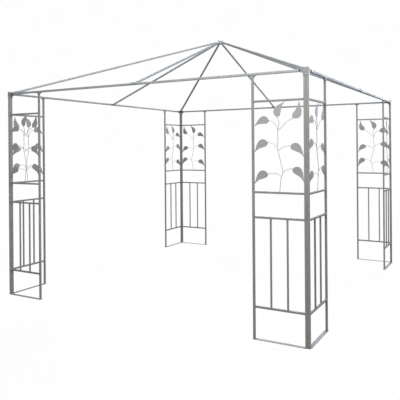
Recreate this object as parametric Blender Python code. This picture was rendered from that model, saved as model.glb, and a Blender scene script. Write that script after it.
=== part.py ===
"""Bare garden gazebo frame: corner panels with leaf ornaments, eaves beams and a hipped roof of rafters.

Metres, +Z up, X along the front from left to right, Y from front to back.
The origin is the middle of the plan at ground level.
Each side is modelled as if it were the front and hangs on an empty that turns it into place.
"""
import math

import bmesh
import bpy
from mathutils import Matrix, Vector

# Overall sizes
SPAN = 3.0              # plan size over the corner tubes
EAVES_Z = 1.913         # centre line of the eaves beams
ROOF_RISE = 0.610       # from there up to where the centre lines of the rafters meet
GAP = 0.0003            # clearance between pieces that touch

# Square tubes
TUBE = 0.018            # corner tubes and eaves beams
POST = 0.016            # outer posts
RAIL = 0.015            # rails of the corner panels
BAR = 0.012             # upright bars of the lower panels
HIP_LOW = 0.018         # lower length of a hip rafter
RAFTER = 0.016          # upper length of a hip rafter, and the mid rafters

# Corner panels
PANEL_W = 0.397         # corner tube axis to outer post axis
JOINT_Z = 0.976         # where the upper panel stands on the lower one
FOOT_RAIL_Z = 0.235     # lowest rail, above the ground
RAIL_BELOW_JOINT = 0.095
RAIL_ABOVE_JOINT = 0.086
RAIL_BELOW_BEAM = 0.198
BAR_COUNT = 2
STRIP_W = 0.030         # flat strip on the ground between the feet
STRIP_T = 0.003
FLARE_R = 0.020         # curved flare where an outer post meets the beam
FLARE_T = 0.012
ARC_STEPS = 6

# Leaf ornament. Its places are shares of the clear width and height of the upper panel.
LEAF_T = 0.002
STEM_R = 0.00225
TWIG_R = 0.00175
TIP_INSET = 0.001       # between a leaf's point and the tube that it is welded to
TWIG_REACH = 0.08       # how far a twig runs into its leaf, as a share of the leaf
STEM = ((0.519, 0.000), (0.530, 0.060), (0.556, 0.165), (0.583, 0.210), (0.548, 0.316), (0.491, 0.454),
        (0.475, 0.492), (0.490, 0.560), (0.488, 0.678), (0.512, 0.765), (0.480, 0.815))
LEAVES = (              # point, end at the twig, side of the round back, knot of the stem, route from there
    ((0.000, 0.730), (0.315, 0.791), 1, 8, ((0.456, 0.736), (0.380, 0.783))),
    ((0.000, 0.432), (0.288, 0.548), 1, 6, ((0.420, 0.522), (0.350, 0.540))),
    ((0.000, 0.078), (0.288, 0.197), 1, 2, ((0.500, 0.192), (0.405, 0.201))),
    ((1.000, 0.385), (0.733, 0.507), -1, 5, ((0.565, 0.485), (0.648, 0.504))),
    ((1.000, 0.108), (0.771, 0.256), -1, 3, ((0.620, 0.230), (0.680, 0.245))),
    ((0.910, 1.000), (0.787, 0.811), 1, 8, ((0.557, 0.710), (0.690, 0.785))),
)
CROWN = (0.630, 1.000), (0.472, 0.827), -1      # the leaf that the stem itself runs into
BACK = ((0.22, 0.16), (0.50, 0.34), (0.76, 0.37), (0.93, 0.24))     # along a leaf and across it,
FRONT = ((0.84, -0.10), (0.62, -0.05), (0.30, 0.03))                # as shares of its length

# Corner connectors
BLOCK_BELOW = 0.0375    # reach of the block below and above the centre line of the beams
BLOCK_ABOVE = 0.021
WALL = 0.002            # how far a connector stands proud of the tubes that it holds
ARM_LEN = 0.061         # from the axis of the corner tube to the end of an arm
SOCKET_LEN = 0.075

# Roof hub
HUB_R = 0.030
HUB_BELOW = 0.025       # reach of the hub below and above the centre lines of the rafters
HUB_ABOVE = 0.017
HUB_SIDES = 16
STUB_START = 0.026
STUB_END = 0.062

# Saddles of the mid rafters
SADDLE_LEN = 0.070
SADDLE_T = 0.003
SADDLE_DROP = 0.006     # from the beam's centre line down to the edge of a saddle cheek
SHOE = (0.020, 0.013, 0.017)

SIDES = ("front", "right", "back", "left")
ENDS = (("left", "right"), ("front", "back"), ("right", "left"), ("back", "front"))
CORNERS = ("front_right", "back_right", "back_left", "front_left")
LINE = SPAN / 2 - TUBE / 2          # plane of the panels and the beams
APEX_Z = EAVES_Z + ROOF_RISE
LOWER_RAILS_Z = (FOOT_RAIL_Z, JOINT_Z - RAIL_BELOW_JOINT)
UPPER_RAILS_Z = (JOINT_Z + RAIL_ABOVE_JOINT, EAVES_Z - RAIL_BELOW_BEAM)
BLOCK_BASE_Z = EAVES_Z - BLOCK_BELOW
ARM_END = LINE - ARM_LEN            # distance of the arm ends from the middle of the plan
PITCH = TUBE + GAP                  # between the twin tubes of a corner
GREY = (0.30, 0.31, 0.31, 1.0)


def reset():
    for item in list(bpy.data.objects):
        bpy.data.objects.remove(item, do_unlink=True)


def collection(name):
    made = bpy.data.collections.new(name)
    bpy.context.scene.collection.children.link(made)
    return made


def empty(name, turn):
    made = bpy.data.objects.new(name, None)
    made.rotation_euler = (0.0, 0.0, turn)
    BODY.objects.link(made)
    return made


def coat(name):
    made = bpy.data.materials.new(name + "_coat")
    made.use_nodes = True
    shader = made.node_tree.nodes["Principled BSDF"]
    shader.inputs["Base Color"].default_value = GREY
    shader.inputs["Metallic"].default_value = 0.6
    shader.inputs["Roughness"].default_value = 0.45
    return made


# Shapes: each function returns a closed mesh in the coordinates of the front side

def cube_mesh(matrix):
    mesh = bpy.data.meshes.new("cube")
    bm = bmesh.new()
    bmesh.ops.create_cube(bm, size=1.0, matrix=matrix)
    bm.to_mesh(mesh)
    bm.free()
    return mesh


def slab(low, high):
    low, high = Vector(low), Vector(high)
    return cube_mesh(Matrix.LocRotScale((low + high) / 2, None, high - low))


def bar(start, end, size):
    """Square bar from point to point."""
    start, end = Vector(start), Vector(end)
    turn = (end - start).to_track_quat("Z", "Y")
    return cube_mesh(Matrix.LocRotScale((start + end) / 2, turn, (size, size, (end - start).length)))


def upright(x, size, low, high):
    return bar((x, -LINE, low), (x, -LINE, high), size)


def level(start, end, z, size):
    return bar((start, -LINE, z), (end, -LINE, z), size)


def drum(radius, low, high, sides):
    mesh = bpy.data.meshes.new("drum")
    bm = bmesh.new()
    bmesh.ops.create_cone(bm, cap_ends=True, segments=sides, radius1=radius, radius2=radius,
                          depth=high - low, matrix=Matrix.Translation((0, 0, (low + high) / 2)))
    bm.to_mesh(mesh)
    bm.free()
    return mesh


def curve_mesh(curve):
    """Mesh of a curve drawn in its own XY plane, stood up in the panel's plane with its caps welded."""
    holder = bpy.data.objects.new("curve", curve)
    bpy.context.scene.collection.objects.link(holder)
    mesh = bpy.data.meshes.new_from_object(holder.evaluated_get(bpy.context.evaluated_depsgraph_get()))
    bpy.data.objects.remove(holder)
    mesh.transform(Matrix.Translation((0, -LINE, 0)) @ Matrix.Rotation(math.pi / 2, 4, "X"))
    bm = bmesh.new()
    bm.from_mesh(mesh)
    bmesh.ops.remove_doubles(bm, verts=bm.verts, dist=0.00001)
    bm.to_mesh(mesh)
    bm.free()
    return mesh


def plate(outline, thick):
    """Flat plate from an outline in X and Z, with its thickness across Y."""
    curve = bpy.data.curves.new("plate", "CURVE")
    curve.dimensions = "2D"
    curve.fill_mode = "BOTH"
    curve.extrude = thick / 2
    spline = curve.splines.new("POLY")
    spline.points.add(len(outline) - 1)
    for point, (x, z) in zip(spline.points, outline):
        point.co = (x, z, 0.0, 1.0)
    spline.use_cyclic_u = True
    return curve_mesh(curve)


def web(x, z, reach, drop, root):
    """Concave web in the corner of an upright face at x and a soffit at z; reach is signed."""
    way = math.copysign(1.0, reach)
    angles = [math.pi / 2 * i / ARC_STEPS for i in range(ARC_STEPS + 1)]
    arc = [(x + reach * (1 - math.cos(a)), z - drop * (1 - math.sin(a))) for a in angles]
    return [(x - way * root, z - drop), *arc, (x + reach, z + root), (x - way * root, z + root)]


def bezier(curve, points, corners, closed):
    """Add a spline; corners are the points with straight handles, the others run smoothly."""
    spline = curve.splines.new("BEZIER")
    spline.bezier_points.add(len(points) - 1)
    for i, (knot, point) in enumerate(zip(spline.bezier_points, points)):
        kind = "VECTOR" if i in corners else "AUTO"
        knot.co = (point.x, point.y, 0.0)
        knot.handle_left_type = knot.handle_right_type = kind
    spline.use_cyclic_u = closed


def rods(routes, radius, resolution):
    curve = bpy.data.curves.new("rods", "CURVE")
    curve.dimensions = "3D"
    curve.bevel_depth = radius
    curve.bevel_resolution = 0
    curve.resolution_u = resolution
    curve.use_fill_caps = True
    for route in routes:
        bezier(curve, route, (), closed=False)
    return curve_mesh(curve)


def leaf_outline(tip, end, back):
    along = end - tip
    across = Vector((-along.y, along.x)) * back
    edge = [tip, *(tip + along * a + across * b for a, b in BACK), end]
    return edge + [tip + along * a + across * b for a, b in FRONT]


def leaves(outlines):
    curve = bpy.data.curves.new("leaves", "CURVE")
    curve.dimensions = "2D"
    curve.fill_mode = "BOTH"
    curve.extrude = LEAF_T / 2
    curve.resolution_u = 2
    for outline in outlines:
        bezier(curve, outline, (0, len(BACK) + 1), closed=True)
    return curve_mesh(curve)


# Objects

def add(name, meshes, parent, group):
    """One object from meshes that stay clear of each other."""
    joined = bpy.data.meshes.new(name)
    bm = bmesh.new()
    for mesh in meshes:
        bm.from_mesh(mesh)
        bpy.data.meshes.remove(mesh)
    bmesh.ops.recalc_face_normals(bm, faces=bm.faces)
    bm.to_mesh(joined)
    bm.free()
    made = bpy.data.objects.new(name, joined)
    made.parent = parent
    group.objects.link(made)
    return made


def weld(name, parent, first, *others):
    """The union of layers of meshes as one body with its own coat."""
    body = add(name, first, parent, BODY)
    body.data.materials.append(coat(name))
    for number, meshes in enumerate(others, 1):
        cutter = add(f"{name}_layer{number}", meshes, parent, CUTTERS)
        cutter.display_type = "WIRE"
        cutter.hide_render = True
        step = body.modifiers.new(f"layer{number}", "BOOLEAN")
        step.operation = "UNION"
        step.solver = "EXACT"
        step.object = cutter
    return body


def panel_uprights(end):
    """Axis and size of the left and the right upright of a panel, seen from outside.

    The panel at a side's left end holds the tube on the very corner.
    The one at its right end stops one tube short, beside the next side's tube.
    """
    if end == 0:
        return (-LINE, TUBE), (-LINE + PANEL_W, POST)
    return (LINE - PITCH - PANEL_W, POST), (LINE - PITCH, TUBE)


def lower_frame(name, end, parent):
    (left, left_size), (right, right_size) = panel_uprights(end)
    inner_left, inner_right = left + left_size / 2, right - right_size / 2
    bay = (inner_right - inner_left) / (BAR_COUNT + 1)
    uprights = [upright(left, left_size, 0.0, JOINT_Z), upright(right, right_size, 0.0, JOINT_Z)]
    uprights += [upright(inner_left + bay * i, BAR, *LOWER_RAILS_Z) for i in range(1, BAR_COUNT + 1)]
    rails = [level(left, right, z, RAIL) for z in LOWER_RAILS_Z]
    strip_left = inner_left + GAP if end == 0 else left
    strip = slab((strip_left, -LINE - STRIP_W / 2, 0.0), (right, -LINE + STRIP_W / 2, STRIP_T))
    layers = [[*rails, strip]]
    if end == 0:
        tongue = slab((left, -LINE - BAR / 2, STRIP_T / 3), (left + TUBE, -LINE + BAR / 2, 2 * STRIP_T / 3))
        layers.append([tongue])
    weld(name, parent, uprights, *layers)


def upper_frame(name, end, parent):
    beam_under = EAVES_Z - TUBE / 2 - GAP
    tops = {TUBE: BLOCK_BASE_Z - GAP, POST: beam_under}
    pair = panel_uprights(end)
    (left, _), (right, _) = pair
    uprights = [upright(x, size, JOINT_Z + GAP, tops[size]) for x, size in pair]
    rails = [level(left, right, z, RAIL) for z in UPPER_RAILS_Z]
    post = right if end == 0 else left
    root = POST / 8
    soffit = beam_under - root - GAP
    flares = [plate(web(post + way * POST / 2, soffit, way * FLARE_R, FLARE_R, root), FLARE_T)
              for way in (-1, 1)]
    weld(name, parent, uprights, [*rails, *flares])


def leaf_ornament(name, end, parent):
    (left, left_size), (right, right_size) = panel_uprights(end)
    low = Vector((left + left_size / 2 + TIP_INSET, UPPER_RAILS_Z[0] + RAIL / 2 + TIP_INSET))
    high = Vector((right - right_size / 2 - TIP_INSET, UPPER_RAILS_Z[1] - RAIL / 2 - TIP_INSET))

    def spot(share):
        return low + (high - low) * Vector(share)

    outlines, twigs = [], []

    def leaf(tip, stop, back):
        """Add an outline and return the end of the rod that holds the leaf."""
        tip, stop = spot(tip), spot(stop)
        outlines.append(leaf_outline(tip, stop, back))
        return [stop, stop.lerp(tip, TWIG_REACH)]

    stem = [spot(share) for share in STEM]
    for tip, stop, back, knot, route in LEAVES:
        twigs.append([stem[knot], *(spot(share) for share in route), *leaf(tip, stop, back)])
    stem += leaf(*CROWN)
    weld(name, parent, [rods([stem], STEM_R, 2)], [leaves(outlines)], [rods(twigs, TWIG_R, 1)])


def corner_connector(name, parent):
    """Block over the twin tubes, with an arm and a web for each beam and a socket for the hip rafter."""
    quarter = Matrix.Rotation(math.pi / 2, 4, "Z")
    arm = TUBE + 2 * WALL
    arm_under = EAVES_Z - arm / 2
    outer = LINE + TUBE / 2 + WALL
    inner = LINE - TUBE / 2 - WALL
    block = slab((inner - PITCH, -outer, BLOCK_BASE_Z), (outer, -inner, EAVES_Z + BLOCK_ABOVE))
    arm_x = level(LINE, ARM_END, EAVES_Z, arm)
    arm_y = level(-LINE, -ARM_END, EAVES_Z, arm)
    drop = arm_under - BLOCK_BASE_Z
    web_x = plate(web(inner - PITCH, arm_under, ARM_END - inner + PITCH, drop, WALL), TUBE)
    web_y = plate(web(-inner, arm_under, inner - ARM_END, drop, WALL), TUBE)
    arm_y.transform(quarter)
    web_y.transform(quarter)
    corner = Vector((LINE, -LINE, EAVES_Z))
    along = (Vector((0, 0, APEX_Z)) - corner).normalized()
    socket = bar(corner, corner + along * SOCKET_LEN, arm)
    weld(name, parent, [block], [arm_x], [arm_y], [web_x, web_y], [socket])


def beam_half(name, way, parent):
    weld(name, parent, [level(way * GAP / 2, way * (ARM_END - GAP), EAVES_Z, TUBE)])


def hip_rafter(name, parent):
    corner, apex = Vector((LINE, -LINE, EAVES_Z)), Vector((0, 0, APEX_Z))
    along = (apex - corner).normalized()
    middle = (corner + apex) / 2
    lower = bar(corner + along * (SOCKET_LEN + GAP), middle, HIP_LOW)
    upper = bar(middle - along * HIP_LOW, apex - along * (STUB_END + GAP), RAFTER)
    weld(name, parent, [lower], [upper])


def mid_rafter(name, parent):
    """Mid rafter with the saddle that clasps the joint of the two beam halves."""
    foot, apex = Vector((0, -LINE, EAVES_Z)), Vector((0, 0, APEX_Z))
    along = (apex - foot).normalized()
    half = SADDLE_LEN / 2
    face = TUBE / 2 + GAP
    top = EAVES_Z + face
    lid = slab((-half, -LINE - face - SADDLE_T, top), (half, -LINE + face + SADDLE_T, top + SADDLE_T))
    cheeks = [slab((-half, y, EAVES_Z - SADDLE_DROP), (half, y + SADDLE_T, top + SADDLE_T / 2))
              for y in (-LINE - face - SADDLE_T, -LINE + face)]
    shoe_y = -LINE + face + SADDLE_T / 2
    shoe_z = top + SADDLE_T / 4
    shoe = slab((-SHOE[0] / 2, shoe_y, shoe_z - SHOE[2]), (SHOE[0] / 2, shoe_y + SHOE[1], shoe_z))
    start = foot + along * ((face + SHOE[1]) / along.y)
    weld(name, parent, [lid], cheeks, [shoe], [bar(start, apex - along * (STUB_END + GAP), RAFTER)])


def roof_hub(name, parent):
    apex = Vector((0, 0, APEX_Z))
    stubs = []
    for k in range(8):
        reach = LINE * (math.sqrt(2) if k % 2 else 1.0)
        angle = math.pi / 4 * k
        foot = Vector((reach * math.cos(angle), reach * math.sin(angle), EAVES_Z))
        along = (foot - apex).normalized()
        stubs.append(bar(apex + along * STUB_START, apex + along * STUB_END, RAFTER + WALL / 2))
    weld(name, parent, [drum(HUB_R, APEX_Z - HUB_BELOW, APEX_Z + HUB_ABOVE, HUB_SIDES)], stubs)


def main():
    for number, side in enumerate(SIDES):
        parent = empty(side + "_side", number * math.pi / 2)
        for end in (0, 1):
            place = f"{side}_{ENDS[number][end]}"
            lower_frame(place + "_lower_frame", end, parent)
            upper_frame(place + "_upper_frame", end, parent)
            leaf_ornament(place + "_leaf_ornament", end, parent)
            beam_half(place + "_beam", (-1, 1)[end], parent)
        corner_connector(CORNERS[number] + "_connector", parent)
        hip_rafter(CORNERS[number] + "_hip_rafter", parent)
        mid_rafter(side + "_mid_rafter", parent)
    roof_hub("roof_hub", empty("roof_middle", 0.0))


reset()
BODY = collection("gazebo_frame")
CUTTERS = collection("cutters")
main()
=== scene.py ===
"""Bare garden gazebo frame: square steel tube under a satin silver-grey powder coat.

Each side has a welded panel at both ends, made of a lower part with bars and an upper part
with a cut-out leaf ornament. Eaves beams run between pressed corner connectors, and hip and
mid rafters rise from there to a hub. Metres, +Z up. A side is made as the front and turned.
"""
import math

import bmesh
import bpy
from bpy.props import FloatProperty, FloatVectorProperty, IntProperty, PointerProperty
from mathutils import Matrix, Vector


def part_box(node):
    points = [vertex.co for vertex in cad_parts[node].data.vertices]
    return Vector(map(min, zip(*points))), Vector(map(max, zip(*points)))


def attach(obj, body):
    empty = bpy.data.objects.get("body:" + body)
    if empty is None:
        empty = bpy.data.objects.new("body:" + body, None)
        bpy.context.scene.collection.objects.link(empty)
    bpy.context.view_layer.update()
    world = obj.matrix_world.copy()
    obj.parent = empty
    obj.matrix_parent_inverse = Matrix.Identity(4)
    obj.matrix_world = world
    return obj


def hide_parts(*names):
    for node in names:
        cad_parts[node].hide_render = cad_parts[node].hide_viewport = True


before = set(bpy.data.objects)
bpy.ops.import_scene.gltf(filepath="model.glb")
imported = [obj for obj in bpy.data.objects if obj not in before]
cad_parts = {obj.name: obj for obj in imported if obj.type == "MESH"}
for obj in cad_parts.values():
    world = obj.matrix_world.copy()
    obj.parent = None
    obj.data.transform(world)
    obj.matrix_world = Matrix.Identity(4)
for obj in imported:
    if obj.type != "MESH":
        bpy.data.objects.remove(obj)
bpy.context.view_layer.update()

bl_info = {
    "name": "Garden gazebo frame",
    "version": (1, 0, 0),
    "blender": (4, 5, 0),
    "location": "3D View > Sidebar > Gazebo",
    "description": "Builds a bare gazebo frame of powder-coated square tube, piece by piece",
    "category": "Add Mesh",
}

BODY = "root"

SIDES = ("front", "right", "back", "left")
ENDS = (("left", "right"), ("front", "back"), ("right", "left"), ("back", "front"))
CORNERS = ("front_right", "back_right", "back_left", "front_left")

# Where things are on the frame's front side
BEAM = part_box("front_left_beam")
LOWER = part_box("front_left_lower_frame"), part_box("front_right_lower_frame")
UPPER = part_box("front_left_upper_frame"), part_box("front_right_upper_frame")
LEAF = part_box("front_left_leaf_ornament"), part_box("front_right_leaf_ornament")
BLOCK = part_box("front_right_connector")
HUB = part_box("roof_hub")
TUBE = BEAM[1].y - BEAM[0].y            # side of the corner tubes and the beams
LINE = -(BEAM[0].y + BEAM[1].y) / 2     # plane of the panels and the beams
EAVES = (BEAM[0].z + BEAM[1].z) / 2     # centre line of the beams
BEAM_END = -BEAM[0].x
JOINT = LOWER[0][1].z                   # where the upper panels stand on the lower ones
GAP = LINE - TUBE / 2 - LOWER[1][1].x   # between the twin tubes of a corner, and at other fits
SINK = 0.001                            # how far a rail, bar or web runs into what it is welded to
UP = Vector((0.0, 0.0, 1.0))
OUT = Vector((0.0, -1.0, 0.0))          # away from the gazebo, on the front side

# Outline of the ornament, as shares of the clear width and height of the upper panel
STEM = ((0.519, 0.000), (0.530, 0.060), (0.556, 0.165), (0.583, 0.210), (0.548, 0.316), (0.491, 0.454),
        (0.475, 0.492), (0.490, 0.560), (0.488, 0.678), (0.512, 0.765), (0.480, 0.815))
# A leaf: point, end at the twig, side of the round back, knot of the stem, route of the twig from there
LEAVES = (
    ((0.000, 0.730), (0.315, 0.791), 1, 8, ((0.456, 0.736), (0.380, 0.783))),
    ((0.000, 0.432), (0.288, 0.548), 1, 6, ((0.420, 0.522), (0.350, 0.540))),
    ((0.000, 0.078), (0.288, 0.197), 1, 2, ((0.500, 0.192), (0.405, 0.201))),
    ((1.000, 0.385), (0.733, 0.507), -1, 5, ((0.565, 0.485), (0.648, 0.504))),
    ((1.000, 0.108), (0.771, 0.256), -1, 3, ((0.620, 0.230), (0.680, 0.245))),
    ((0.910, 1.000), (0.787, 0.811), 1, 8, ((0.557, 0.710), (0.690, 0.785))),
)
CROWN = (0.630, 1.000), (0.472, 0.827), -1      # the leaf that the stem itself runs into
BACK = ((0.22, 0.16), (0.50, 0.34), (0.76, 0.37), (0.93, 0.24))     # along a leaf and across it,
FRONT = ((0.84, -0.10), (0.62, -0.05), (0.30, 0.03))                # as shares of its length
TWIG_REACH = 0.08       # how far a twig runs into its leaf, as a share of the leaf


def linear(code):
    """Linear red, green and blue of an sRGB hex colour."""
    parts = [int(code[i:i + 2], 16) / 255 for i in (0, 2, 4)]
    return [c / 12.92 if c <= 0.04045 else ((c + 0.055) / 1.055) ** 2.4 for c in parts]


# ---- Sizes and colours

def length(name, default, description):
    return FloatProperty(name=name, default=default, min=0.0, precision=4, unit="LENGTH",
                         subtype="DISTANCE", description=description)


def colour(name, code, description):
    return FloatVectorProperty(name=name, default=linear(code), min=0.0, max=1.0, size=3,
                               subtype="COLOR", description=description)


class GazeboTubeSizes(bpy.types.PropertyGroup):
    post_side: length("Outer post", 0.016, "Side of the outer post of a panel")
    rail_side: length("Rail", 0.015, "Side of the level rails of a panel")
    bar_side: length("Bar", 0.012, "Side of the upright bars of a lower panel")
    rafter_side: length("Rafter", 0.016, "Side of the mid rafters and the upper half of a hip")
    hip_side: length("Lower hip", 0.018, "Side of the lower half of a hip rafter")
    corner: length("Corner radius", 0.0018, "Radius of a tube's rounded corners")
    corner_steps: IntProperty(name="Corner steps", default=4, min=1, max=8,
                              description="Facets over each rounded corner")
    seam: length("Seam", 0.0012, "Open seam where a tube stands on or meets another")
    plug: length("Plug", 0.030, "Plug that shows in the seam between two panels")


class GazeboPanelSizes(bpy.types.PropertyGroup):
    foot_rail: length("Foot rail height", 0.235, "Centre of the lowest rail above the ground")
    below_joint: length("Rail below joint", 0.095, "From the joint down to the rail under it")
    above_joint: length("Rail above joint", 0.086, "From the joint up to the rail over it")
    below_beam: length("Rail below beam", 0.198, "From the beam down to the top rail")
    bars: IntProperty(name="Bars", default=2, min=0, max=8, description="Upright bars in a lower panel")
    strip_width: length("Foot strip width", 0.030, "Width of the flat strip on the ground")
    strip: length("Foot strip thickness", 0.003, "Thickness of the flat strip on the ground")
    strip_edge: length("Foot strip edge", 0.0007, "Rounding of the flat strip's edges")
    flare: length("Flare reach", 0.020, "Reach of a flare along the beam")
    flare_drop: length("Flare drop", 0.020, "Reach of a flare down the outer post")
    flare_width: length("Flare width", 0.012, "Thickness of a flare across the panel")
    leaf: length("Leaf thickness", 0.002, "Thickness of the cut-out leaves")
    stem: length("Stem radius", 0.00225, "Radius of the stem of the ornament")
    twig: length("Twig radius", 0.00175, "Radius of the twigs of the ornament")


class GazeboFittingSizes(bpy.types.PropertyGroup):
    wall: length("Sleeve wall", 0.002, "How far a connector stands proud of its tubes")
    socket: length("Hip socket", 0.075, "Length of the socket that holds a hip rafter")
    edge: length("Pressed edge", 0.0018, "Radius of the edges of the connectors")
    saddle: length("Saddle length", 0.070, "Length of the saddle over a beam joint")
    saddle_sheet: length("Saddle sheet", 0.003, "Thickness of the saddle's sheet")
    saddle_drop: length("Saddle drop", 0.006, "Reach of the saddle's cheeks below the beam's centre")
    hub: length("Hub radius", 0.030, "Radius of the roof hub")
    hub_above: length("Hub height over centre", 0.017, "From the rafters' meeting point up to the top")
    hub_below: length("Hub depth under centre", 0.025, "From the rafters' meeting point down to the base")
    stub_start: length("Stub start", 0.026, "From the rafters' meeting point to the start of a socket")
    stub_end: length("Stub end", 0.062, "From the rafters' meeting point to the end of a socket")
    arm: length("Arm length", 0.061, "From the axis of a corner tube to the end of an arm")
    block_above: length("Block height over beam", 0.021, "From the beam's centre line to a block's top")
    bead: length("Weld bead", 0.0016, "Radius of a weld bead")
    bead_pitch: length("Weld ripple", 0.0019, "Distance between the ripples of a weld bead")
    screw: length("Screw head", 0.0046, "Radius of a pan-head screw")
    cap: length("Cap screw head", 0.0050, "Radius of the cap screws of the connectors and the hub")


class GazeboFinish(bpy.types.PropertyGroup):
    coat: colour("Powder coat", "7f807e", "Coat of the panels and connectors")
    # The roof coat is the panel coat made paler and bluer: painted light, standing in for the brighter,
    # cooler light on the roof tubes.
    roof_coat: colour("Roof coat", "8d9194", "Paler coat of the roof tubes")
    leaf_coat: colour("Leaf coat", "8e908f", "Coat of the leaves")
    # The hub coat is the panel coat made much paler: a painted highlight, standing in for the light on
    # the tops of the hub and its sockets.
    hub_coat: colour("Hub coat", "b9bdc0", "Coat of the hub")
    zinc: colour("Zinc plating", "cdd0d2", "Screws and washers of the panels and the roof")
    # Blackened steel for cap screws; on the hub's wall these screws are painted shade between the
    # sockets.
    black: colour("Blackened steel", "2b2d2f", "Cap screws of the connectors and the hub")
    floor: colour("Studio floor", "ffffff", "Floor and backdrop, as bright as they shine")


# ---- Node helpers

def add_node(tree, kind, inputs=None, **settings):
    """One node with its settings; an input is given a value or the socket that feeds it."""
    node = tree.nodes.new(kind)
    for key, value in settings.items():
        setattr(node, key, value)
    for key, value in (inputs or {}).items():
        socket = node.inputs[key]
        if isinstance(value, bpy.types.NodeSocket):
            tree.links.new(value, socket)
        else:
            socket.default_value = value
    return node


def math_of(tree, operation, *values):
    return add_node(tree, "ShaderNodeMath", dict(enumerate(values)), operation=operation).outputs[0]


def spread(tree, value, low, high, start=0.3, stop=0.7):
    """Map a value between start and stop, which noise mostly is, onto low to high."""
    return add_node(tree, "ShaderNodeMapRange", {
        "Value": value, "From Min": start, "From Max": stop, "To Min": low, "To Max": high}).outputs[0]


def geometry_tree(name, inputs):
    """A node tree that takes a geometry and named sizes; returns it with its group input."""
    tree = bpy.data.node_groups.new(name, "GeometryNodeTree")
    tree.interface.new_socket("Geometry", in_out="INPUT", socket_type="NodeSocketGeometry")
    for label, kind, default in inputs:
        socket = tree.interface.new_socket(label, in_out="INPUT", socket_type="NodeSocket" + kind)
        if default is not None:
            socket.default_value = default
    tree.interface.new_socket("Finish", in_out="INPUT", socket_type="NodeSocketMaterial")
    tree.interface.new_socket("Geometry", in_out="OUTPUT", socket_type="NodeSocketGeometry")
    return tree, tree.nodes.new("NodeGroupInput").outputs


def end_tree(tree, given, geometry):
    real = add_node(tree, "GeometryNodeRealizeInstances", {"Geometry": geometry}).outputs[0]
    finished = add_node(tree, "GeometryNodeSetMaterial", {"Geometry": real, "Material": given["Finish"]})
    add_node(tree, "NodeGroupOutput", {"Geometry": finished.outputs[0]})
    return tree


def grown(mesh, tree, **values):
    """The plain mesh that a node tree makes of another mesh."""
    holder = bpy.data.objects.new(tree.name, mesh)
    bpy.context.scene.collection.objects.link(holder)
    nodes = holder.modifiers.new(tree.name, "NODES")
    nodes.node_group = tree
    for item in tree.interface.items_tree:
        if item.in_out == "INPUT" and item.name.replace(" ", "_").lower() in values:
            nodes[item.identifier] = values[item.name.replace(" ", "_").lower()]
    ready = holder.evaluated_get(bpy.context.evaluated_depsgraph_get())
    made = bpy.data.meshes.new_from_object(ready)
    bpy.data.objects.remove(holder)
    bpy.data.meshes.remove(mesh)
    return made


def square_tube_tree():
    """Square tube with rounded corners swept along straight runs, closed at both ends."""
    tree, given = geometry_tree("square_tube", (
        ("Side", "Float", 0.018), ("Corner radius", "Float", 0.002), ("Corner steps", "Int", 4)))
    section = add_node(tree, "GeometryNodeCurvePrimitiveQuadrilateral",
                       {"Width": given["Side"], "Height": given["Side"]}, mode="RECTANGLE").outputs[0]
    section = add_node(tree, "GeometryNodeFilletCurve", {
        "Curve": section, "Count": given["Corner steps"], "Radius": given["Corner radius"],
        "Limit Radius": True}, mode="POLY").outputs[0]
    run = add_node(tree, "GeometryNodeMeshToCurve", {"Mesh": given["Geometry"]}).outputs[0]
    run = add_node(tree, "GeometryNodeSetCurveNormal", {"Curve": run}, mode="Z_UP").outputs[0]
    tube = add_node(tree, "GeometryNodeCurveToMesh", {
        "Curve": run, "Profile Curve": section, "Fill Caps": True}).outputs[0]
    return end_tree(tree, given, tube)


def weld_bead_tree():
    """Weld bead as overlapping ripples along seams, each of a slightly different size."""
    tree, given = geometry_tree("weld_bead", (
        ("Bead radius", "Float", 0.0016), ("Ripple", "Float", 0.0019), ("Seed", "Int", 4)))
    seam = add_node(tree, "GeometryNodeMeshToCurve", {"Mesh": given["Geometry"]}).outputs[0]
    seam = add_node(tree, "GeometryNodeResampleCurve", {"Curve": seam, "Length": given["Ripple"]},
                    mode="LENGTH").outputs[0]
    drop = add_node(tree, "GeometryNodeMeshUVSphere", {
        "Segments": 7, "Rings": 5, "Radius": given["Bead radius"]}).outputs[0]
    drop = add_node(tree, "GeometryNodeSetShadeSmooth", {"Geometry": drop}).outputs[0]
    size = add_node(tree, "FunctionNodeRandomValue", {2: 0.78, 3: 1.08, "Seed": given["Seed"]}).outputs[1]
    ripples = add_node(tree, "GeometryNodeInstanceOnPoints", {
        "Points": seam, "Instance": drop, "Scale": size}).outputs[0]
    return end_tree(tree, given, ripples)


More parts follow.
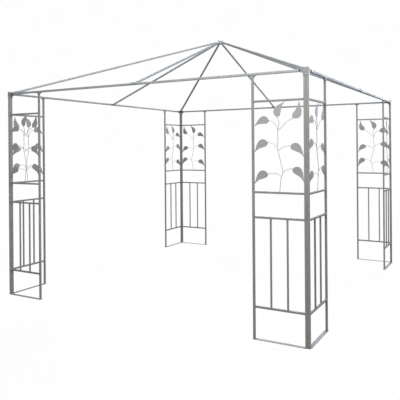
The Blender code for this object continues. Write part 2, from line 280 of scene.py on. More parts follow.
def screw_tree():
    """Domed head with a six-sided socket on a washer, set on each point and turned by its aim."""
    tree, given = geometry_tree("screw", (
        ("Head radius", "Float", 0.0046), ("Head height", "Float", 0.0026), ("Sides", "Int", 20),
        ("Washer radius", "Float", 0.0065), ("Washer height", "Float", 0.0008),
        ("Socket radius", "Float", 0.0018), ("Bury", "Float", 0.0002)))

    def work(operation, a, b):
        return math_of(tree, operation, a, b)

    def lifted(mesh, height):
        offset = add_node(tree, "ShaderNodeCombineXYZ", {"Z": height}).outputs[0]
        moved = add_node(tree, "GeometryNodeTransform", {"Geometry": mesh, "Translation": offset})
        return moved.outputs[0]

    radius, height, washer_top = given["Head radius"], given["Head height"], given["Washer height"]
    foot = work("SUBTRACT", 0.0, given["Bury"])
    washer = add_node(tree, "GeometryNodeMeshCylinder", {
        "Vertices": 24, "Radius": given["Washer radius"],
        "Depth": work("ADD", washer_top, given["Bury"])}).outputs[0]
    washer = lifted(washer, work("DIVIDE", work("ADD", washer_top, foot), 2.0))
    # The head is a steep skirt under a flatter crown, each sunk a little into what is below it.
    skirt = work("MULTIPLY", height, 0.45)
    shoulder = work("MULTIPLY", radius, 0.97)
    lower = add_node(tree, "GeometryNodeMeshCone", {
        "Vertices": given["Sides"], "Radius Bottom": radius, "Radius Top": shoulder,
        "Depth": skirt}).outputs[0]
    lower = lifted(lower, work("SUBTRACT", washer_top, 0.0001))
    upper = add_node(tree, "GeometryNodeMeshCone", {
        "Vertices": given["Sides"], "Radius Bottom": shoulder,
        "Radius Top": work("MULTIPLY", radius, 0.66),
        "Depth": work("SUBTRACT", height, skirt)}).outputs[0]
    upper = lifted(upper, work("SUBTRACT", work("ADD", washer_top, skirt), 0.00015))
    head = add_node(tree, "GeometryNodeMeshBoolean", {"Mesh 2": lower}, operation="UNION", solver="EXACT")
    tree.links.new(upper, head.inputs["Mesh 2"])
    key = add_node(tree, "GeometryNodeMeshCylinder", {
        "Vertices": 6, "Radius": given["Socket radius"], "Depth": height}).outputs[0]
    key = lifted(key, work("ADD", washer_top, height))
    head = add_node(tree, "GeometryNodeMeshBoolean", {"Mesh 1": head.outputs[0], "Mesh 2": key},
                    operation="DIFFERENCE", solver="EXACT").outputs[0]
    whole = add_node(tree, "GeometryNodeJoinGeometry", {"Geometry": washer})
    tree.links.new(head, whole.inputs[0])
    aim = add_node(tree, "GeometryNodeInputNamedAttribute", {"Name": "aim"},
                   data_type="FLOAT_VECTOR").outputs[0]
    turn = add_node(tree, "FunctionNodeAlignRotationToVector", {"Vector": aim}, axis="Z").outputs[0]
    screws = add_node(tree, "GeometryNodeInstanceOnPoints", {
        "Points": given["Geometry"], "Instance": whole.outputs[0], "Rotation": turn}).outputs[0]
    return end_tree(tree, given, screws)


# ---- Finishes

def shader(name):
    """A new material: its node tree, its main shader and its object coordinates."""
    made = bpy.data.materials.new(name)
    made.use_nodes = True
    tree = made.node_tree
    place = add_node(tree, "ShaderNodeTexCoord").outputs["Object"]
    return made, tree, tree.nodes["Principled BSDF"], place


def noise(tree, place, size, detail=2.0, roughness=0.5):
    """Noise with features of about a size in metres."""
    return add_node(tree, "ShaderNodeTexNoise", {
        "Vector": place, "Scale": 1 / size, "Detail": detail, "Roughness": roughness}).outputs["Fac"]


def tint(tree, surface, code, tone):
    """Body colour, lighter and darker with a tone about 1."""
    base = add_node(tree, "ShaderNodeVectorMath", {0: list(code), "Scale": tone}, operation="SCALE")
    tree.links.new(base.outputs[0], surface.inputs["Base Color"])


def emboss(tree, surface, height, strength, distance):
    bump = add_node(tree, "ShaderNodeBump", {
        "Height": height, "Strength": strength, "Distance": distance})
    tree.links.new(bump.outputs[0], surface.inputs["Normal"])


def powder_coat(name, code):
    """Polyester powder, sprayed and oven-cured on mild steel, satin silver-grey.

    It gives the eye a fine orange peel, a faint sparkle of pigment flake, a tone that drifts
    along a tube with the film's thickness, and a slightly paler line where it runs thin over corners.
    """
    material, tree, surface, place = shader(name)
    drift = noise(tree, place, 0.16, roughness=0.6)
    light = spread(tree, drift, 0.93, 1.07)
    # The pigment flakes are 0.05 mm; they are drawn at 1.2 mm so that they show at all.
    flake = add_node(tree, "ShaderNodeTexVoronoi", {"Vector": place, "Scale": 1 / 0.0012})
    flake = add_node(tree, "ShaderNodeSeparateColor", {"Color": flake.outputs["Color"]}).outputs[0]
    spark = spread(tree, flake, 0.97, 1.03, 0.0, 1.0)
    patch = noise(tree, place, 0.012, detail=3.0)
    rim = add_node(tree, "ShaderNodeAttribute", attribute_name="edge", attribute_type="GEOMETRY")
    thin = math_of(tree, "MULTIPLY", rim.outputs["Fac"], patch)
    paler = math_of(tree, "MULTIPLY_ADD", thin, 0.16, light)
    tint(tree, surface, code, math_of(tree, "MULTIPLY", paler, spark))
    satin = math_of(tree, "MULTIPLY_ADD", thin, -0.08, spread(tree, drift, 0.46, 0.58))
    tree.links.new(satin, surface.inputs["Roughness"])
    # Orange peel: cells of about 2 mm, less than 0.04 mm deep.
    emboss(tree, surface, noise(tree, place, 0.002, roughness=0.45), 0.18, 0.0002)
    surface.inputs["Metallic"].default_value = 0.20
    surface.inputs["IOR"].default_value = 1.5
    return material


def plated_steel(name, code, roughness, patch):
    """Steel hardware, zinc-plated or blackened: metal with faint blotches from the bath; the blackened
    screws on the hub's wall paint the shade there.
    """
    material, tree, surface, place = shader(name)
    blotch = noise(tree, place, patch, detail=3.0)
    tint(tree, surface, code, spread(tree, blotch, 0.86, 1.08))
    rough = spread(tree, blotch, roughness - 0.05, roughness + 0.09)
    tree.links.new(rough, surface.inputs["Roughness"])
    emboss(tree, surface, noise(tree, place, 0.0006), 0.15, 0.0001)
    surface.inputs["Metallic"].default_value = 1.0
    return material


def light_table(name):
    """Matt studio paint lit evenly up to full white, with a faint cloudiness.

    It shines by itself and sends back no other light, so that it is never brighter than white
    and doesn't eat into the outline of thin tubes.
    """
    material, tree, surface, place = shader(name)
    glow = spread(tree, noise(tree, place, 2.0), 0.985, 1.005)
    tree.links.new(glow, surface.inputs["Emission Strength"])
    surface.inputs["Emission Color"].default_value = (*bpy.context.scene.gazebo_finish.floor, 1.0)
    surface.inputs["Base Color"].default_value = (0.0, 0.0, 0.0, 1.0)
    surface.inputs["Roughness"].default_value = 1.0
    surface.inputs["Specular IOR Level"].default_value = 0.0
    return material


def coat(name):
    """A powder coat by name, made the first time that it is asked for."""
    finish = bpy.context.scene.gazebo_finish
    # The roof and hub coats are paler copies of the panel coat: painted light on the roof tubes, and a
    # painted highlight on the hub.
    codes = {"powder_coated_panel_tube": finish.coat, "powder_coated_connector": finish.coat,
             "powder_coated_roof_tube": finish.roof_coat, "powder_coated_cut_sheet": finish.leaf_coat,
             "powder_coated_hub": finish.hub_coat}
    return bpy.data.materials.get(name) or powder_coat(name, codes[name])


def steel(name):
    """A plated or blackened steel by name, made the first time that it is asked for."""
    finish = bpy.context.scene.gazebo_finish
    looks = {"zinc_plated_steel": (finish.zinc, 0.30, 0.004),
             "blackened_steel": (finish.black, 0.45, 0.003)}
    return bpy.data.materials.get(name) or plated_steel(name, *looks[name])


# ---- Shapes of the front side

def spot(x, z, y=None):
    return Vector((x, -LINE if y is None else y, z))


def runs(pairs):
    """Straight runs as the edges of a mesh."""
    mesh = bpy.data.meshes.new("runs")
    points = [point for pair in pairs for point in pair]
    mesh.from_pydata(points, [(i, i + 1) for i in range(0, len(points), 2)], [])
    return mesh


def tubes(pairs, side, finish):
    sizes = bpy.context.scene.gazebo_tubes
    return grown(runs(pairs), TREES["square_tube"], side=side, finish=finish,
                 corner_radius=sizes.corner, corner_steps=sizes.corner_steps)


def weld_rings(rings, finish):
    """Beads round square seams: each ring has a middle, the side of the tube and the tube's axis."""
    sizes = bpy.context.scene.gazebo_fittings
    points, edges = [], []
    for middle, side, axis in rings:
        across = Vector((0, 1, 0)) if abs(axis.y) < 0.9 else Vector((1, 0, 0))
        other = axis.cross(across)
        first = len(points)
        for a, b in ((-1, -1), (1, -1), (1, 1), (-1, 1)):
            points.append(middle + (across * a + other * b) * side / 2)
        edges += [(first + i, first + (i + 1) % 4) for i in range(4)]
    mesh = bpy.data.meshes.new("rings")
    mesh.from_pydata(points, edges, [])
    return grown(mesh, TREES["weld_bead"], bead_radius=sizes.bead, ripple=sizes.bead_pitch, finish=finish)


def screws(spots, finish, **sizes):
    """Screw heads at spots, each a place and a direction."""
    mesh = bpy.data.meshes.new("spots")
    mesh.from_pydata([place for place, _ in spots], [], [])
    aim = mesh.attributes.new("aim", "FLOAT_VECTOR", "POINT")
    for item, (_, way) in zip(aim.data, spots):
        item.vector = way
    return grown(mesh, TREES["screw"], finish=finish, **sizes)


def ended(bm, name):
    mesh = bpy.data.meshes.new(name)
    bm.to_mesh(mesh)
    bm.free()
    return mesh


def rounded(matrix, radius, steps=3):
    """Unit cube under a matrix, with all its edges rounded."""
    bm = bmesh.new()
    bmesh.ops.create_cube(bm, size=1.0, matrix=matrix)
    bmesh.ops.bevel(bm, geom=bm.edges[:], offset=radius, segments=steps, profile=0.5, affect="EDGES")
    return ended(bm, "rounded")


def slab(low, high, radius, steps=3):
    low, high = Vector(low), Vector(high)
    return rounded(Matrix.LocRotScale((low + high) / 2, None, high - low), radius, steps)


def along_matrix(start, end, side):
    """Places a unit cube as a square bar from start to end."""
    turn = (end - start).to_track_quat("Z", "Y")
    return Matrix.LocRotScale((start + end) / 2, turn, (side, side, (end - start).length))


def sleeve(start, end, side, radius):
    return rounded(along_matrix(start, end, side), radius)


def taper(start, end, wide, narrow, radius):
    """Square neck between a wide tube and a narrow one, with rounded corners."""
    bm = bmesh.new()
    bmesh.ops.create_cube(bm, size=1.0, matrix=along_matrix(start, end, wide))
    tip = [vert for vert in bm.verts if (vert.co - end).length < (vert.co - start).length]
    for vert in tip:
        vert.co = end + (vert.co - end) * narrow / wide
    along = (end - start).normalized()
    corners = [edge for edge in bm.edges
               if abs((edge.verts[0].co - edge.verts[1].co).normalized().dot(along)) > 0.9]
    bmesh.ops.bevel(bm, geom=corners, offset=radius, segments=3, profile=0.5, affect="EDGES")
    return ended(bm, "taper")


def lathe(profile, sides, middle):
    """Round form about an upright axis, from radii and heights that start and end on the axis."""
    bm = bmesh.new()
    made = [bm.verts.new(middle + Vector((r, 0, z))) for r, z in profile]
    edges = [bm.edges.new(pair) for pair in zip(made, made[1:])]
    bmesh.ops.spin(bm, geom=made + edges, cent=middle, axis=UP, angle=math.tau, steps=sides,
                   use_duplicate=False)
    bmesh.ops.remove_doubles(bm, verts=bm.verts, dist=0.00002)
    bmesh.ops.recalc_face_normals(bm, faces=bm.faces)
    return ended(bm, "lathe")


def curve_mesh(curve):
    """Mesh of a curve drawn in its own XY plane, stood up in the panel's plane."""
    holder = bpy.data.objects.new("curve", curve)
    bpy.context.scene.collection.objects.link(holder)
    mesh = bpy.data.meshes.new_from_object(holder.evaluated_get(bpy.context.evaluated_depsgraph_get()))
    bpy.data.objects.remove(holder)
    mesh.transform(Matrix.Translation((0, -LINE, 0)) @ Matrix.Rotation(math.pi / 2, 4, "X"))
    bm = bmesh.new()
    bm.from_mesh(mesh)
    bmesh.ops.remove_doubles(bm, verts=bm.verts, dist=0.00001)
    bmesh.ops.recalc_face_normals(bm, faces=bm.faces)
    bm.to_mesh(mesh)
    bm.free()
    return mesh


def sheet_curve(thick, edge, resolution):
    """An empty flat curve for parts cut from sheet, with a softened edge."""
    curve = bpy.data.curves.new("sheet", "CURVE")
    curve.dimensions = "2D"
    curve.fill_mode = "BOTH"
    curve.extrude = thick / 2 - edge
    curve.bevel_depth = edge
    curve.bevel_resolution = 2
    curve.offset = -edge
    curve.resolution_u = resolution
    return curve


def web(x, z, reach, drop, root, thick):
    """Concave web under a soffit at z, against an upright face at x.

    Reach is signed, and root is how far the web runs into the soffit and the face.
    """
    steps = 14
    way = math.copysign(1.0, reach)
    angles = [math.pi / 2 * i / steps for i in range(steps + 1)]
    outline = [(x - way * root, z - drop)]
    outline += [(x + reach * (1 - math.cos(a)), z - drop * (1 - math.sin(a))) for a in angles]
    outline += [(x + reach, z + root), (x - way * root, z + root)]
    curve = sheet_curve(thick, 0.0006, 1)
    spline = curve.splines.new("POLY")
    spline.points.add(len(outline) - 1)
    for point, (a, b) in zip(spline.points, outline):
        point.co = (a, b, 0.0, 1.0)
    spline.use_cyclic_u = True
    return curve_mesh(curve)


def bezier(curve, points, corners, closed):
    """Add a spline; corners are the points with straight handles, the others run smoothly."""
    spline = curve.splines.new("BEZIER")
    spline.bezier_points.add(len(points) - 1)
    for i, (knot, point) in enumerate(zip(spline.bezier_points, points)):
        kind = "VECTOR" if i in corners else "AUTO"
        knot.co = (point.x, point.y, 0.0)
        knot.handle_left_type = knot.handle_right_type = kind
    spline.use_cyclic_u = closed


def rods(routes, radius):
    curve = bpy.data.curves.new("rods", "CURVE")
    curve.dimensions = "3D"
    curve.bevel_depth = radius
    curve.bevel_resolution = 2
    curve.resolution_u = 8
    curve.use_fill_caps = True
    for route in routes:
        bezier(curve, route, (), closed=False)
    mesh = curve_mesh(curve)
    mesh.shade_smooth()
    return mesh


def leaf_outline(tip, end, back):
    along = end - tip
    across = Vector((-along.y, along.x)) * back
    edge = [tip, *(tip + along * a + across * b for a, b in BACK), end]
    return edge + [tip + along * a + across * b for a, b in FRONT]


# ---- Pieces

def joined(meshes):
    """One mesh from several, each kept with its own materials."""
    made = bpy.data.meshes.new("joined")
    bm = bmesh.new()
    for mesh in meshes:
        first = len(bm.faces)
        bm.from_mesh(mesh)
        bm.faces.ensure_lookup_table()
        for face in bm.faces[first:]:
            slot = mesh.materials[face.material_index] if mesh.materials else None
            if slot and slot.name not in made.materials:
                made.materials.append(slot)
            face.material_index = made.materials.find(slot.name) if slot else 0
    bm.to_mesh(made)
    bm.free()
    for mesh in meshes:
        bpy.data.meshes.remove(mesh)
    return made


def mark_edges(mesh, width):
    """Write 1 on the narrow faces that round an edge off, and 0 on the broad ones."""
    values = []
    for face in mesh.polygons:
        corners = [mesh.vertices[i].co for i in face.vertices]
        sides = [(a - b).length for a, b in zip(corners, corners[1:] + corners[:1])]
        values.append(1.0 if min(sides) < width and face.area < width * max(sides) * 1.2 else 0.0)
    mesh.attributes.new("edge", "FLOAT", "FACE").data.foreach_set("value", values)


def hand_over(name, mesh, slot, finish, *nodes):
    """Name a finished mesh as a piece of the frame that stands for CAD nodes."""
    made = bpy.data.objects.new(name, mesh)
    mesh.name = name
    if not mesh.materials:
        mesh.materials.append(finish)
    bpy.context.scene.collection.objects.link(made)
    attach(made, BODY)
    if nodes:
        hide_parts(*nodes)
    return made


def side_ends(end):
    return [f"{side}_{ends[end]}" for side, ends in zip(SIDES, ENDS)]


def round_the_sides(meshes, places, name, slot, finish, stands_for=True, edge_width=0.0012):
    """Copies of a front-side piece at four places, from the front round by the right.

    A piece that stands for a CAD node replaces the one named for its place and its slot.
    """
    first = joined(meshes)
    mark_edges(first, edge_width)
    for number, place in enumerate(places):
        copy = first.copy()
        copy.transform(Matrix.Rotation(number * math.pi / 2, 4, "Z"))
        nodes = [f"{place}_{slot}"] if stands_for else []
        hand_over(f"{place}_{name}", copy, slot, finish, *nodes)
    bpy.data.meshes.remove(first)


def uprights(end):
    """Axis and side of the corner tube and of the outer post of a front panel."""
    post = bpy.context.scene.gazebo_tubes.post_side
    low, high = LOWER[end]
    if end == 0:
        return (low.x + TUBE / 2, TUBE), (high.x - post / 2, post)
    return (high.x - TUBE / 2, TUBE), (low.x + post / 2, post)


def rail_heights():
    sizes = bpy.context.scene.gazebo_panels
    return ((sizes.foot_rail, JOINT - sizes.below_joint),
            (JOINT + sizes.above_joint, EAVES - sizes.below_beam))


def bay_of(end):
    """Faces of the corner tube and the outer post that look at each other, and the way across."""
    (corner, corner_side), (post, post_side) = uprights(end)
    way = 1 if end == 0 else -1
    return corner + way * corner_side / 2, post - way * post_side / 2, way


def rails_and_rings(end, heights, finish):
    """Level rails between the uprights, with the weld seams at their ends."""
    rail = bpy.context.scene.gazebo_tubes.rail_side
    near, far, way = bay_of(end)
    pairs = [(spot(near - way * SINK, z), spot(far + way * SINK, z)) for z in heights]
    rings = [(spot(x, z), rail, Vector((1, 0, 0))) for z in heights for x in (near, far)]
    return tubes(pairs, rail, finish), rings


class GAZEBO_OT_lower_panels(bpy.types.Operator):
    """Lower halves of the corner panels: uprights, rails, bars and the strip on the ground"""
    bl_idname = "gazebo.lower_panels"
    bl_label = "Lower panels"

    def execute(self, context):
        sizes, panel = context.scene.gazebo_tubes, context.scene.gazebo_panels
        finish = coat("powder_coated_panel_tube")
        heights = rail_heights()[0]
        for end in (0, 1):
            (corner, _), (post, post_side) = uprights(end)
            top = JOINT - sizes.seam / 2
            meshes = [tubes([(spot(corner, 0.0), spot(corner, top))], TUBE, finish),
                      tubes([(spot(post, 0.0), spot(post, top))], post_side, finish)]
            for x, side in uprights(end):  # plugs that fit between the rounded corners
                plug = spot(x, JOINT - sizes.plug), spot(x, JOINT - 0.0001)
                meshes.append(tubes([plug], side - sizes.corner * 1.5, finish))
            rails, rings = rails_and_rings(end, heights, finish)
            near, far, _ = bay_of(end)
            pitch = (far - near) / (panel.bars + 1)
            half = sizes.rail_side / 2
            bars = [near + pitch * i for i in range(1, panel.bars + 1)]
            meshes.append(rails)
            meshes.append(tubes([(spot(x, heights[0] + half - SINK), spot(x, heights[1] - half + SINK))
                                 for x in bars], sizes.bar_side, finish))
            rings += [(spot(x, z), sizes.bar_side, UP) for x in bars
                      for z in (heights[0] + half, heights[1] - half)]
            low, high = LOWER[end]
            start = near if end == 0 else low.x
            stop = high.x if end == 0 else corner
            strip = slab((start, -LINE - panel.strip_width / 2, 0.0),
                         (stop, -LINE + panel.strip_width / 2, panel.strip), panel.strip_edge, 2)
            meshes += [strip, weld_rings(rings, finish)]
            round_the_sides(meshes, side_ends(end), "lower_panel", "lower_frame", finish)
        return {"FINISHED"}


class GAZEBO_OT_upper_panels(bpy.types.Operator):
    """Upper halves of the corner panels: uprights, rails and the flares under the beam"""
    bl_idname = "gazebo.upper_panels"
    bl_label = "Upper panels"

    def execute(self, context):
        sizes, panel = context.scene.gazebo_tubes, context.scene.gazebo_panels
        finish = coat("powder_coated_panel_tube")
        for end in (0, 1):
            (corner, _), (post, post_side) = uprights(end)
            foot = UPPER[end][0].z + sizes.seam / 2
            top = UPPER[end][1].z
            root = 0.002
            under = top - root - 0.0005  # the flares stop short of the beam
            meshes = [tubes([(spot(corner, foot), spot(corner, BLOCK[0].z - GAP))], TUBE, finish),
                      tubes([(spot(post, foot), spot(post, top))], post_side, finish)]
            rails, rings = rails_and_rings(end, rail_heights()[1], finish)
            meshes += [rails, weld_rings(rings, finish)]
            for way in (-1, 1):
                meshes.append(web(post + way * post_side / 2, under, way * panel.flare,
                                  panel.flare_drop, root, panel.flare_width))
            round_the_sides(meshes, side_ends(end), "upper_panel", "upper_frame", finish)
        return {"FINISHED"}


class GAZEBO_OT_leaf_ornaments(bpy.types.Operator):
    """Cut-out leaves, stem and twigs in the upper panels"""
    bl_idname = "gazebo.leaf_ornaments"
    bl_label = "Leaf ornaments"

    def execute(self, context):
        panel = context.scene.gazebo_panels
        finish = coat("powder_coated_cut_sheet")
        for end in (0, 1):
            box = LEAF[end]
            low = Vector((box[0].x, box[0].z))
            size = Vector((box[1].x, box[1].z)) - low
            curve = sheet_curve(panel.leaf, 0.0004, 10)
            twigs = []

            def leaf(tip, stop, back):
                tip, stop = low + size * Vector(tip), low + size * Vector(stop)
                bezier(curve, leaf_outline(tip, stop, back), (0, len(BACK) + 1), closed=True)
                return [stop, stop.lerp(tip, TWIG_REACH)]

            stem = [low + size * Vector(share) for share in STEM]
            for tip, stop, back, knot, route in LEAVES:
                middle = [low + size * Vector(share) for share in route]
                twigs.append([stem[knot], *middle, *leaf(tip, stop, back)])
            stem += leaf(*CROWN)
            meshes = [curve_mesh(curve), rods([stem], panel.stem), rods(twigs, panel.twig)]
            round_the_sides(meshes, side_ends(end), "vine", "leaf_ornament", finish, edge_width=0.0)
        return {"FINISHED"}


class GAZEBO_OT_eaves_beams(bpy.types.Operator):
    """Eaves beams, two halves on each side that meet under the mid rafter"""
    bl_idname = "gazebo.eaves_beams"
    bl_label = "Eaves beams"

    def execute(self, context):
        # The roof tubes' paler coat is painted light.
        finish = coat("powder_coated_roof_tube")
        seam = context.scene.gazebo_tubes.seam
        for end, way in ((0, -1), (1, 1)):
            run = spot(way * seam / 2, EAVES), spot(way * BEAM_END, EAVES)
            round_the_sides([tubes([run], TUBE, finish)], side_ends(end), "eaves_tube", "beam", finish)
        return {"FINISHED"}


def apex_height():
    return HUB[1].z - bpy.context.scene.gazebo_fittings.hub_above


def hip_line():
    """Corner and top of the front right hip's centre line, and its direction."""
    corner, apex = Vector((LINE, -LINE, EAVES)), Vector((0, 0, apex_height()))
    return corner, apex, (apex - corner).normalized()


class GAZEBO_OT_corner_connectors(bpy.types.Operator):
    """Pressed connectors over the twin corner tubes, with an arm for each beam and a hip socket"""
    bl_idname = "gazebo.corner_connectors"
    bl_label = "Corner connectors"

    def execute(self, context):
        fittings = context.scene.gazebo_fittings
        finish = coat("powder_coated_connector")
        quarter = Matrix.Rotation(math.pi / 2, 4, "Z")
        edge = fittings.edge
        outer = LINE + TUBE / 2 + fittings.wall
        inner = LINE - TUBE / 2 - fittings.wall
        second = inner - TUBE - GAP  # the block's inner face past the second tube
        arm = TUBE + 2 * fittings.wall
        under, base = EAVES - arm / 2, BLOCK[0].z
        reach = LINE - fittings.arm
        meshes = [slab((second, -outer, base), (outer, -inner, EAVES + fittings.block_above), edge)]
        slim = arm - 0.0008  # the arms' faces stand back a little from the block's
        meshes.append(sleeve(spot(reach, EAVES), spot(LINE, EAVES), slim, edge))
        side_arm = sleeve(spot(-reach, EAVES), spot(-LINE, EAVES), slim, edge)
        side_arm.transform(quarter)
        drop = under - base - 0.0015  # the webs stop short of the block's lower edge
        front_web = web(second + edge, under + SINK, reach - second - edge, drop, edge + SINK, TUBE)
        side_web = web(-inner - edge, under + SINK, inner - reach + edge, drop, edge + SINK, TUBE)
        side_web.transform(quarter)
        corner, _, along = hip_line()
        hidden = 0.008  # start of the hip's socket, inside the block
        meshes += [side_arm, front_web, side_web,
                   sleeve(corner + along * hidden, corner + along * fittings.socket, arm, edge)]
        round_the_sides(meshes, CORNERS, "corner_fitting", "connector", finish)
        return {"FINISHED"}


class GAZEBO_OT_rafters(bpy.types.Operator):
    """Hip rafters in two lengths, and mid rafters with the saddles that clasp the beams"""
    bl_idname = "gazebo.rafters"
    bl_label = "Rafters"

    def execute(self, context):
        sizes, fittings = context.scene.gazebo_tubes, context.scene.gazebo_fittings
        # The roof tubes' paler coat is painted light.
        finish = coat("powder_coated_roof_tube")
        corner, apex, along = hip_line()
        middle = (corner + apex) / 2
        stop = fittings.stub_end + GAP
        neck = 0.012  # the lower length is drawn in over this stretch
        tuck = 0.006  # the upper length starts this far inside it
        lap, slack, lip = 0.0005, 0.0002, 0.0008  # the neck starts inside one and ends round the other
        hip = [tubes([(corner + along * (fittings.socket + GAP), middle - along * neck)],
                     sizes.hip_side, finish),
               taper(middle - along * (neck + lap), middle, sizes.hip_side - slack,
                     sizes.rafter_side + lip, sizes.corner),
               tubes([(middle - along * (neck + tuck), apex - along * stop)], sizes.rafter_side, finish)]
        round_the_sides(hip, CORNERS, "hip_tube", "hip_rafter", finish)

        half, sheet = fittings.saddle / 2, fittings.saddle_sheet
        face = TUBE / 2 + GAP
        top = EAVES + face
        soft = 0.0008  # rounding of the sheet's edges
        meshes = [slab((-half, -LINE - face - sheet, top), (half, -LINE + face + sheet, top + sheet),
                       soft, 2)]
        for y in (-LINE - face - sheet, -LINE + face):
            meshes.append(slab((-half, y, EAVES - fittings.saddle_drop),
                               (half, y + sheet, top + sheet * 0.7), soft, 2))
        # A shoe on the inner cheek takes the lower end of the rafter.
        foot = Vector((0, -LINE, EAVES))
        slope = (apex - foot).normalized()
        shoe_half, shoe_deep, shoe_drop, shoe_rise = 0.010, 0.013, 0.0163, 0.0008
        shoe_y = -LINE + face + sheet / 2
        meshes.append(slab((-shoe_half, shoe_y, top - shoe_drop),
                           (shoe_half, shoe_y + shoe_deep, top + shoe_rise), soft, 2))
        start = foot + slope * ((face + shoe_deep) / slope.y)
        meshes.append(tubes([(start, apex - slope * stop)], sizes.rafter_side, finish))
        round_the_sides(meshes, SIDES, "mid_tube", "mid_rafter", finish)
        return {"FINISHED"}


def hub_ways():
    """Directions of the eight rafters, seen from where they meet."""
    apex = Vector((0, 0, apex_height()))
    ways = []
    for k in range(8):
        reach = LINE * (math.sqrt(2) if k % 2 else 1.0)
        turn = math.pi / 4 * k
        ways.append((Vector((reach * math.cos(turn), reach * math.sin(turn), EAVES)) - apex).normalized())
    return apex, ways


class GAZEBO_OT_roof_hub(bpy.types.Operator):
    """Hub with a socket for each of the eight rafters"""
    bl_idname = "gazebo.roof_hub"
    bl_label = "Roof hub"

    def execute(self, context):
        fittings, side = context.scene.gazebo_fittings, context.scene.gazebo_tubes.rafter_side
        # The pale hub coat is a painted highlight.
        finish = coat("powder_coated_hub")
        apex, ways = hub_ways()
        r, top, base = fittings.hub, HUB[1].z - apex.z, -fittings.hub_below
        soft = 0.002  # bevel of the drum, under a low crown with a boss
        profile = [(0, base), (r - soft, base), (r, base + soft), (r, top - 0.006),
                   (r - soft, top - 0.0035), (0.012, top - 0.002), (0.008, top), (0, top)]
        inside, wall, edge = 0.006, 0.0005, 0.0012
        meshes = [lathe(profile, 32, apex)]
        meshes += [sleeve(apex + way * (fittings.stub_start - inside), apex + way * fittings.stub_end,
                          side + 2 * wall, edge) for way in ways]
        whole = joined(meshes)
        mark_edges(whole, edge)
        hand_over("roof_crown", whole, "hub", finish, "roof_hub")
        return {"FINISHED"}


def pan_head(radius):
    """Sizes of a screw with a low domed head on a thin washer."""
    return {"head_radius": radius, "head_height": 0.0022, "washer_radius": radius * 1.25,
            "washer_height": 0.0005, "socket_radius": radius * 0.4}


class GAZEBO_OT_fasteners(bpy.types.Operator):
    """Screws at the panel joints, the beams, the connectors, the saddles, the hips and the hub"""
    bl_idname = "gazebo.fasteners"
    bl_label = "Screws"

    def execute(self, context):
        fittings = context.scene.gazebo_fittings
        zinc, black = steel("zinc_plated_steel"), steel("blackened_steel")
        pan, cap = pan_head(fittings.screw), pan_head(fittings.cap)
        press = 0.0004  # how far a washer is pressed into the coat
        face = OUT * TUBE / 2
        sleeve_face = TUBE / 2 + fittings.wall - press
        arm_end = LINE - fittings.arm
        # Distances along the beam, and up from an edge or down from a joint
        past_arm, over_arm, on_top = 0.012, 0.008, 0.018
        above_foot, below_joint, above_block, below_eaves = 0.028, 0.020, 0.009, 0.004

        for end, way in ((0, -1), (1, 1)):
            (corner, _), (post, _) = uprights(end)
            bright = [(spot(post, EAVES - below_eaves) + face, OUT),
                      (spot(way * (arm_end - past_arm), EAVES) + face, OUT)]
            if end == 0:
                bright += [(spot(corner, JOINT - below_joint) + face, OUT),
                           (spot(corner, above_foot) + face, OUT),
                           (spot(corner, BLOCK[0].z + above_block) + face + OUT * fittings.wall, OUT)]
            dark = [(spot(way * (arm_end + over_arm), EAVES) + OUT * sleeve_face, OUT),
                    (spot(way * (arm_end + on_top), EAVES + sleeve_face), UP)]
            both = [screws(bright, zinc, **pan), screws(dark, black, **cap)]
            round_the_sides(both, side_ends(end), "screws", "connector", zinc, False, 0.0)

        small = pan_head(fittings.screw * 0.9)
        over_eaves, spacing = 0.004, 0.64  # the spacing is a share of the saddle's length
        cheek = spot(0, EAVES + over_eaves, -LINE - TUBE / 2 - GAP - fittings.saddle_sheet)
        across = Vector((fittings.saddle * spacing / 2, 0, 0))
        saddle = [(cheek - across, OUT), (cheek + across, OUT)]
        saddle = [screws(saddle, zinc, **small)]
        round_the_sides(saddle, SIDES, "saddle_screws", "connector", zinc, False, 0.0)

        start, apex, along = hip_line()
        aside = Vector((-1.0, -1.0, 0.0)).normalized()
        over = along.cross(aside)
        over = over if over.z > 0 else -over
        before_end, before_step = 0.014, 0.030  # on the socket, and on the lower length of the hip
        socket = start + along * (fittings.socket - before_end)
        joint = (start + apex) / 2 - along * before_step
        side = context.scene.gazebo_tubes.hip_side / 2
        hip = [(socket + over * (side + fittings.wall - press / 2), over), (joint + aside * side, aside)]
        hip = [screws(hip, zinc, **small)]
        round_the_sides(hip, CORNERS, "hip_screws", "connector", zinc, False, 0.0)

        # The blackened screws on the hub's wall are painted shade: they darken the wall between the pale
        # sockets, where shade falls.
        below_centre, into_crown = 0.003, 0.003
        middle = Vector((0, 0, apex.z - below_centre))
        wall = []
        for k in range(8):  # between the sockets of the hub
            turn = math.tau * (k + 0.5) / 8
            out = Vector((math.cos(turn), math.sin(turn), 0))
            wall.append((middle + out * (fittings.hub - press), out))
        wall.append((Vector((0, 0, HUB[1].z - into_crown)), UP))
        hub_screws_and_painted_shade = joined([screws(wall, black, **cap)])
        hand_over("roof_crown_screws", hub_screws_and_painted_shade, "connector", black)
        return {"FINISHED"}


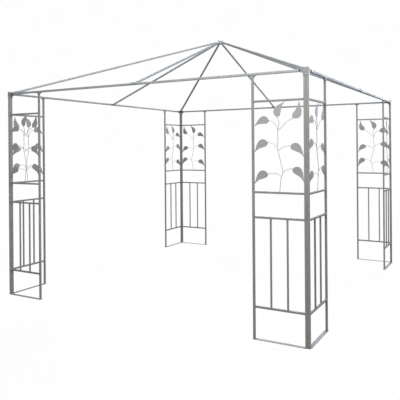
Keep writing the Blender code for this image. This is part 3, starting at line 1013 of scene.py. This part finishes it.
class GAZEBO_OT_studio(bpy.types.Operator):
    """Pale floor, soft lights and the camera"""
    bl_idname = "gazebo.studio"
    bl_label = "Studio"

    def execute(self, context):
        scene = context.scene
        floor, backdrop = bmesh.new(), bmesh.new()
        bmesh.ops.create_grid(floor, x_segments=1, y_segments=1, size=50.0,
                              matrix=Matrix.Translation((0, 0, -0.0005)))
        bmesh.ops.create_uvsphere(backdrop, u_segments=48, v_segments=24, radius=60.0)
        # Only the camera sees the floor and the backdrop, so all the light on the frame comes from
        # the softboxes and the sky.
        for name, bm in (("studio_floor", floor), ("studio_backdrop", backdrop)):
            mesh = ended(bm, name)
            mesh.materials.append(light_table(name + "_paint"))
            made = bpy.data.objects.new(name, mesh)
            made.visible_diffuse = made.visible_glossy = made.visible_transmission = False
            made.visible_shadow = False
            scene.collection.objects.link(made)

        world = bpy.data.worlds.new("studio_sky")
        world.use_nodes = True
        sky = world.node_tree.nodes["Background"]
        sky.inputs["Color"].default_value = (1.0, 1.0, 1.0, 1.0)
        way = add_node(world.node_tree, "ShaderNodeTexCoord").outputs["Generated"]
        height = add_node(world.node_tree, "ShaderNodeSeparateXYZ", {"Vector": way}).outputs["Z"]
        glow = spread(world.node_tree, height, 0.33, 0.50, -0.5, 0.5)
        world.node_tree.links.new(glow, sky.inputs["Strength"])
        scene.world = world
        scene.view_settings.view_transform = "Standard"

        def softbox(name, place, target, size, power, code):
            light = bpy.data.lights.new(name, "AREA")
            light.shape = "RECTANGLE"
            light.size, light.size_y = size
            light.energy = power
            light.color = linear(code)
            holder = bpy.data.objects.new(name, light)
            holder.location = place
            holder.rotation_euler = (Vector(target) - Vector(place)).to_track_quat("-Z", "Y").to_euler()
            scene.collection.objects.link(holder)

        softbox("key_softbox", (1.6, -4.3, 4.0), (1.2, -1.4, 1.7), (1.8, 1.8), 210, "fffdfa")
        softbox("right_softbox", (5.0, -1.0, 3.6), (1.4, -0.3, 1.7), (2.5, 2.5), 110, "dfe9ff")
        softbox("top_softbox", (0.0, 0.0, 6.5), (0.0, 0.0, 0.0), (5.0, 5.0), 70, "eaf1ff")
        softbox("back_softbox", (1.0, 6.0, 3.1), (1.0, 0.0, 2.4), (10.0, 2.0), 350, "e6eefc")

        camera = bpy.data.cameras.new("camera")
        camera.sensor_width = 36.0
        camera.lens = 46.47
        camera.shift_x, camera.shift_y = -0.0672, -0.1308
        holder = bpy.data.objects.new("camera", camera)
        turn, roll = math.radians(27.99), math.radians(-0.44)
        level = Matrix.Rotation(turn, 4, "Z") @ Matrix.Rotation(math.pi / 2, 4, "X")
        holder.matrix_world = (Matrix.Translation((2.662, -4.879, 1.384)) @ level
                               @ Matrix.Rotation(roll, 4, "Z"))
        scene.collection.objects.link(holder)
        scene.camera = holder
        return {"FINISHED"}


OPERATORS = (GAZEBO_OT_lower_panels, GAZEBO_OT_upper_panels, GAZEBO_OT_leaf_ornaments,
             GAZEBO_OT_eaves_beams, GAZEBO_OT_corner_connectors, GAZEBO_OT_rafters,
             GAZEBO_OT_roof_hub, GAZEBO_OT_fasteners, GAZEBO_OT_studio)
SETTINGS = {"gazebo_tubes": GazeboTubeSizes, "gazebo_panels": GazeboPanelSizes,
            "gazebo_fittings": GazeboFittingSizes, "gazebo_finish": GazeboFinish}
TREES = {}


class GAZEBO_PT_sidebar(bpy.types.Panel):
    """Sizes, colours and pieces of the gazebo frame"""
    bl_label = "Gazebo frame"
    bl_idname = "GAZEBO_PT_sidebar"
    bl_space_type = "VIEW_3D"
    bl_region_type = "UI"
    bl_category = "Gazebo"

    def draw(self, context):
        for setting, group in SETTINGS.items():
            box = self.layout.box()
            for name in group.__annotations__:
                box.prop(getattr(context.scene, setting), name)
        for operator in OPERATORS:
            self.layout.operator(operator.bl_idname)


def register():
    for item in (*SETTINGS.values(), *OPERATORS, GAZEBO_PT_sidebar):
        bpy.utils.register_class(item)
    for name, group in SETTINGS.items():
        setattr(bpy.types.Scene, name, PointerProperty(type=group))


def unregister():
    for name in SETTINGS:
        delattr(bpy.types.Scene, name)
    for item in (GAZEBO_PT_sidebar, *reversed(OPERATORS), *reversed(SETTINGS.values())):
        bpy.utils.unregister_class(item)


def main():
    register()
    for tree in (square_tube_tree(), weld_bead_tree(), screw_tree()):
        TREES[tree.name] = tree
    for operator in OPERATORS:
        group, name = operator.bl_idname.split(".")
        getattr(getattr(bpy.ops, group), name)()


if __name__ == "__main__":
    main()
